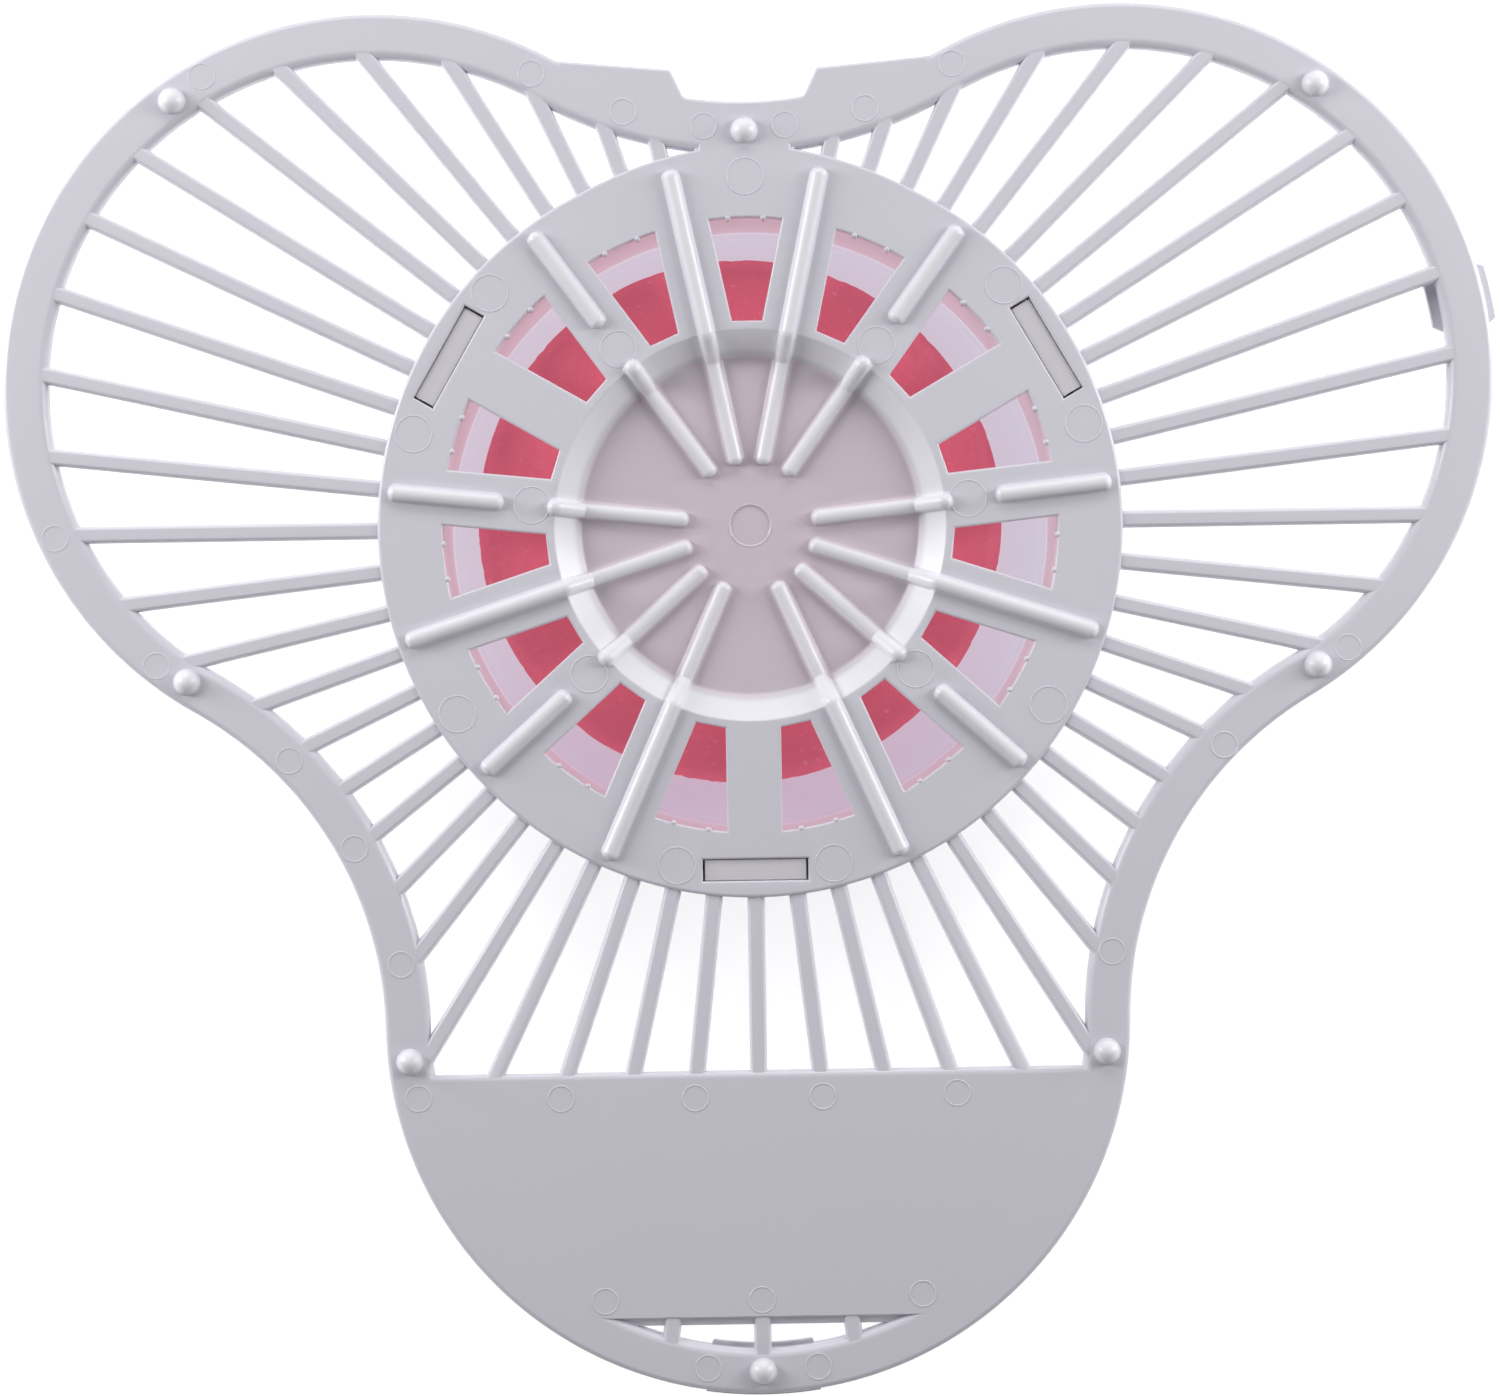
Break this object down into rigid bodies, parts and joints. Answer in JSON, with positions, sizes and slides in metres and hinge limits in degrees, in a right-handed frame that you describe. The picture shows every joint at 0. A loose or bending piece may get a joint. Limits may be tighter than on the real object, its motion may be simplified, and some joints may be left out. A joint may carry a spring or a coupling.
{
  "type": "urinal deodorizer screen",
  "caption": "Trefoil urinal screen with radial spokes, a windowed hub, a solid splash panel and a loose fragrance block held in a clip-in cage.",
  "frame": {"origin": "middle of the cage's flat outer face, on the hub's axis; the part lies on this face with its underside up", "axes": "+Z out of the screen's underside along the hub's axis, +Y towards the notch in the rim, -Y towards the splash panel, +X across the two upper lobes"},
  "size_m": [0.204, 0.1893, 0.0263],
  "materials": {
    "screen_plastic": "smooth satin moulding, white with a faint lavender cast",
    "cage_plastic": "smooth satin moulding, white tinted pink by the block's colour",
    "fragrance_block": "pressed fragrance compound, rough and matt"
  },
  "bodies": {
    "root": {"screen": "screen_plastic", "cage": "cage_plastic", "block": "fragrance_block"}
  },
  "joints": []
}
